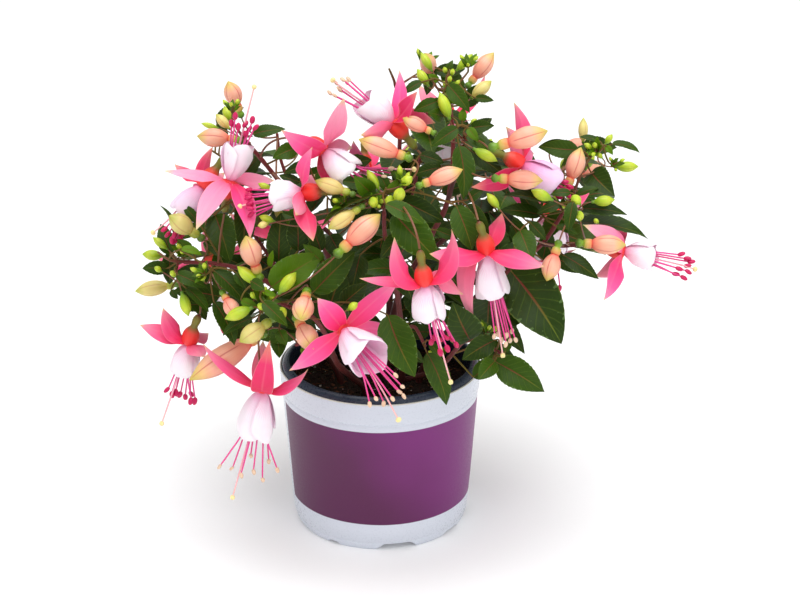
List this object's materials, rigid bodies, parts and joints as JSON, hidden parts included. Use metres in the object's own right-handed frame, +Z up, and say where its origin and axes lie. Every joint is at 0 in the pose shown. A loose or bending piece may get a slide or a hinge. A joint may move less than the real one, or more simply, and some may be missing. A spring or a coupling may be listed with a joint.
{
  "type": "potted fuchsia",
  "caption": "Bushy flowering plant with hanging pink and white double-skirted flowers, buds and dark green leaves, growing in a round plastic nursery pot.",
  "frame": {"origin": "centre of the flat middle of the pot's underside, on the surface that the pot stands on", "axes": "+Z up along the pot's axis; -Y towards the side that the picture shows; +X to that picture's right"},
  "size_m": [0.3235, 0.2849, 0.3002],
  "materials": {
    "pot_plastic": "gloss",
    "soil": "matte",
    "foliage": "satin",
    "green_shoot": "satin",
    "sepal": "satin",
    "petal": "satin",
    "stamen": "satin",
    "whole_flower": "satin"
  },
  "bodies": {
    "root": {"pot": "pot_plastic", "soil": "soil", "leafy_stem_left": "foliage", "leafy_stem_upper_left": "foliage", "leafy_stem_centre": "foliage", "leafy_stem_right": "foliage", "leafy_stem_front_left": "foliage", "leafy_stem_front": "foliage", "leafy_stem_back": "foliage", "green_shoot_left": "green_shoot", "green_shoot_upper_left": "green_shoot", "green_shoot_top": "green_shoot", "green_shoot_right": "green_shoot", "green_shoot_front_left": "green_shoot", "green_shoot_centre": "green_shoot", "green_shoot_back_left": "green_shoot", "green_shoot_back_right": "green_shoot", "green_shoot_back_top": "green_shoot", "flower_01_calyx": "sepal", "flower_01_corolla": "petal", "flower_01_stamens": "stamen", "flower_02_calyx": "sepal", "flower_02_corolla": "petal", "flower_02_stamens": "stamen", "flower_03_calyx": "sepal", "flower_03_corolla": "petal", "flower_03_stamens": "stamen", "flower_04_calyx": "sepal", "flower_04_corolla": "petal", "flower_04_stamens": "stamen", "flower_05_calyx": "sepal", "flower_05_corolla": "petal", "flower_05_stamens": "stamen", "flower_06_calyx": "sepal", "flower_06_corolla": "petal", "flower_06_stamens": "stamen", "flower_07_calyx": "sepal", "flower_07_corolla": "petal", "flower_07_stamens": "stamen", "flower_08_calyx": "sepal", "flower_08_corolla": "petal", "flower_08_stamens": "stamen", "flower_09_calyx": "sepal", "flower_09_corolla": "petal", "flower_09_stamens": "stamen", "flower_10_calyx": "sepal", "flower_10_corolla": "petal", "flower_10_stamens": "stamen", "flower_11_calyx": "sepal", "flower_11_corolla": "petal", "flower_11_stamens": "stamen", "flower_12_calyx": "sepal", "flower_12_corolla": "petal", "flower_12_stamens": "stamen", "flower_13": "whole_flower", "flower_14": "whole_flower", "flower_15": "whole_flower", "flower_16": "whole_flower", "flower_17": "whole_flower", "flower_18": "whole_flower"}
  },
  "joints": []
}
